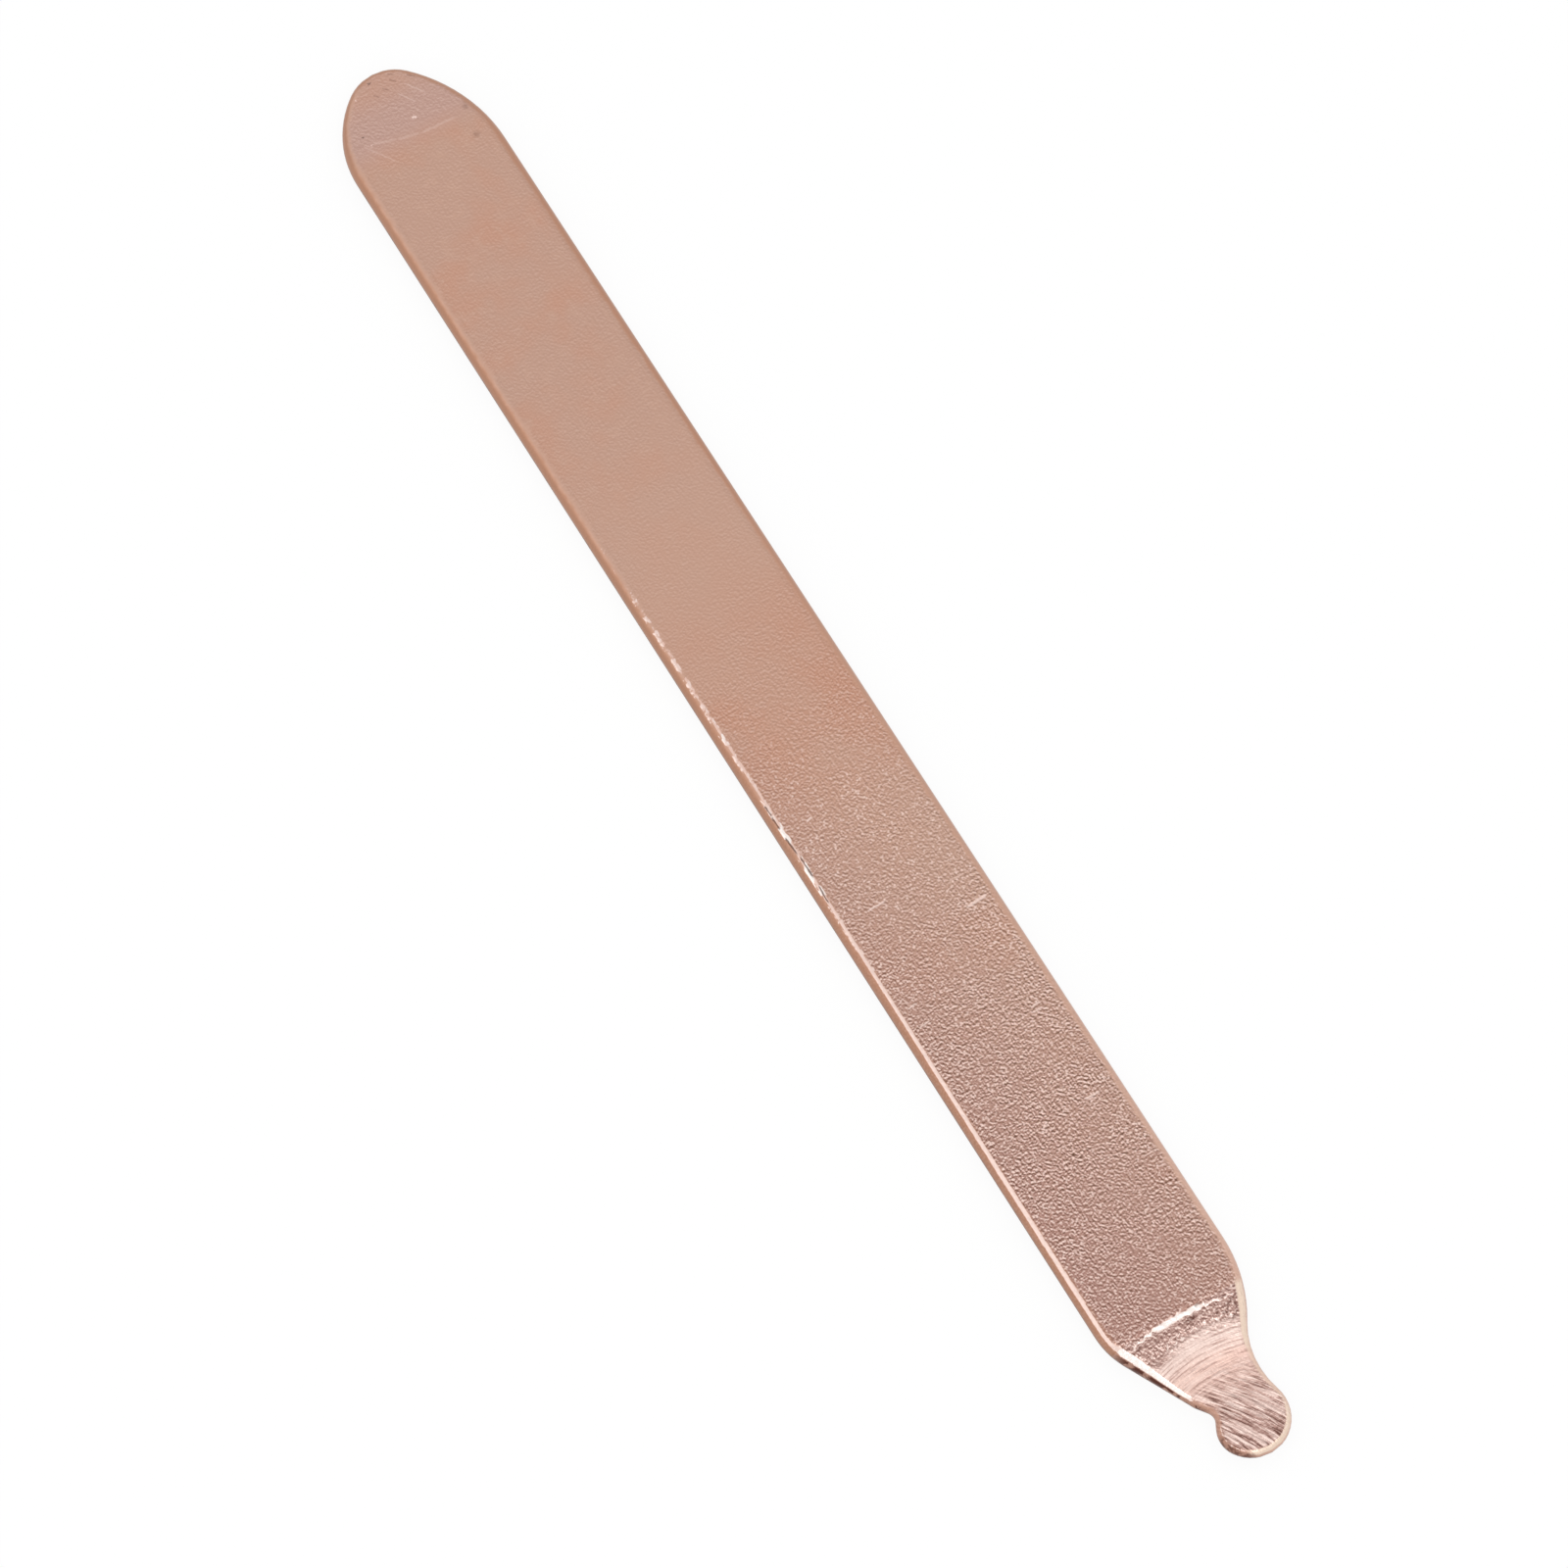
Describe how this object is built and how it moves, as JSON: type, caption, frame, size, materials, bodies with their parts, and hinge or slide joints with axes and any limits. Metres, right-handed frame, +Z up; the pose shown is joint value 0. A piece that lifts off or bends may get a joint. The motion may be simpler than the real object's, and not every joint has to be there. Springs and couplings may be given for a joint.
{
  "type": "flat heat pipe",
  "caption": "Sealed copper heat pipe pressed flat: long thin bar with half-round edges, closed rounded nose at one end, necked and crimped round stub at the other.",
  "frame": {"origin": "under the middle of the pipe, on the plane it rests on", "axes": "+X along the pipe from the closed nose to the crimped stub, +Y to the left side, +Z up through its 2 mm thickness"},
  "size_m": [0.1244, 0.0114, 0.002],
  "materials": {
    "copper": "bare annealed copper, satin, grainy towards the stub"
  },
  "bodies": {
    "root": {"heat_pipe": "copper"}
  },
  "joints": []
}
